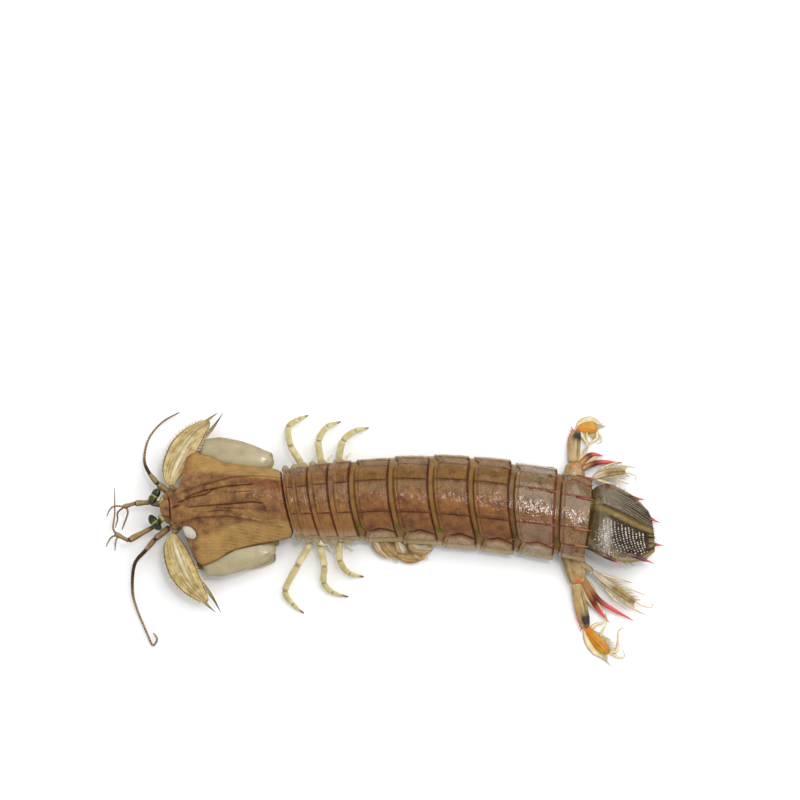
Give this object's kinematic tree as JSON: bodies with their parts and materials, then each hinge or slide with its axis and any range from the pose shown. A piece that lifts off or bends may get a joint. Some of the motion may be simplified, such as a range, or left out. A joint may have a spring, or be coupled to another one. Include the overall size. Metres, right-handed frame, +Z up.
{
  "type": "mantis shrimp",
  "caption": "Still, life-size mantis shrimp lying at rest, with ridged body plates, folded raptorial claws, feelers, walking legs, swimmerets and a spread tail fan.",
  "frame": {"origin": "centre of the bounding box, at the level of the floor that the animal rests on", "axes": "+X from head to tail fan, +Y toward the animal's right side, +Z up"},
  "size_m": [0.1726, 0.0802, 0.0171],
  "materials": {
    "shell": "glossy wet shell, reddish brown with dark keels",
    "dark_shell": "glossy wet shell, maroon brown",
    "tail_plate": "glossy shell, purple grey with pale beads and burgundy teeth",
    "claw_shell": "smooth khaki shell with a yellow rim",
    "pale_limb": "pale yellow green, satin",
    "eye": "dark green black, very glossy",
    "feeler": "brown with darker bands, satin",
    "scale_leaf": "thin translucent yellow leaf with brown edges",
    "swimmeret": "thin orange brown leaves and pale gills",
    "fan": "cream with blue black patches, orange leaf and pink spines"
  },
  "bodies": {
    "root": {"abdomen_1": "shell", "abdomen_2": "shell", "abdomen_3": "shell", "abdomen_4": "shell", "abdomen_5": "shell", "abdomen_6": "shell", "antenna_L": "feeler", "antenna_R": "feeler", "antennal_scale_L": "scale_leaf", "antennal_scale_R": "scale_leaf", "antennule_L": "feeler", "antennule_R": "feeler", "carapace": "shell", "claw_arm_L": "claw_shell", "claw_arm_R": "claw_shell", "claw_finger_L": "claw_shell", "claw_finger_R": "claw_shell", "claw_palm_L": "claw_shell", "claw_palm_R": "claw_shell", "claw_wrist_L": "claw_shell", "claw_wrist_R": "claw_shell", "endopod_L": "fan", "endopod_R": "fan", "exopod_L": "fan", "exopod_R": "fan", "exopod_blade_L": "fan", "exopod_blade_R": "fan", "eye_L": "eye", "eye_R": "eye", "eyestalk_L": "pale_limb", "eyestalk_R": "pale_limb", "head": "shell", "leg_1_L": "pale_limb", "leg_1_R": "pale_limb", "leg_2_L": "pale_limb", "leg_2_R": "pale_limb", "leg_3_L": "pale_limb", "leg_3_R": "pale_limb", "maxilliped_3_L": "pale_limb", "maxilliped_3_R": "pale_limb", "maxilliped_4_L": "pale_limb", "maxilliped_4_R": "pale_limb", "pleopod_1_L": "swimmeret", "pleopod_1_R": "swimmeret", "pleopod_2_L": "swimmeret", "pleopod_2_R": "swimmeret", "pleopod_3_L": "swimmeret", "pleopod_3_R": "swimmeret", "pleopod_4_L": "swimmeret", "pleopod_4_R": "swimmeret", "pleopod_5_L": "swimmeret", "pleopod_5_R": "swimmeret", "rostral_plate": "shell", "telson": "tail_plate", "thorax_5": "dark_shell", "thorax_6": "dark_shell", "thorax_7": "dark_shell", "thorax_8": "dark_shell", "uropod_L": "fan", "uropod_R": "fan"}
  },
  "joints": []
}
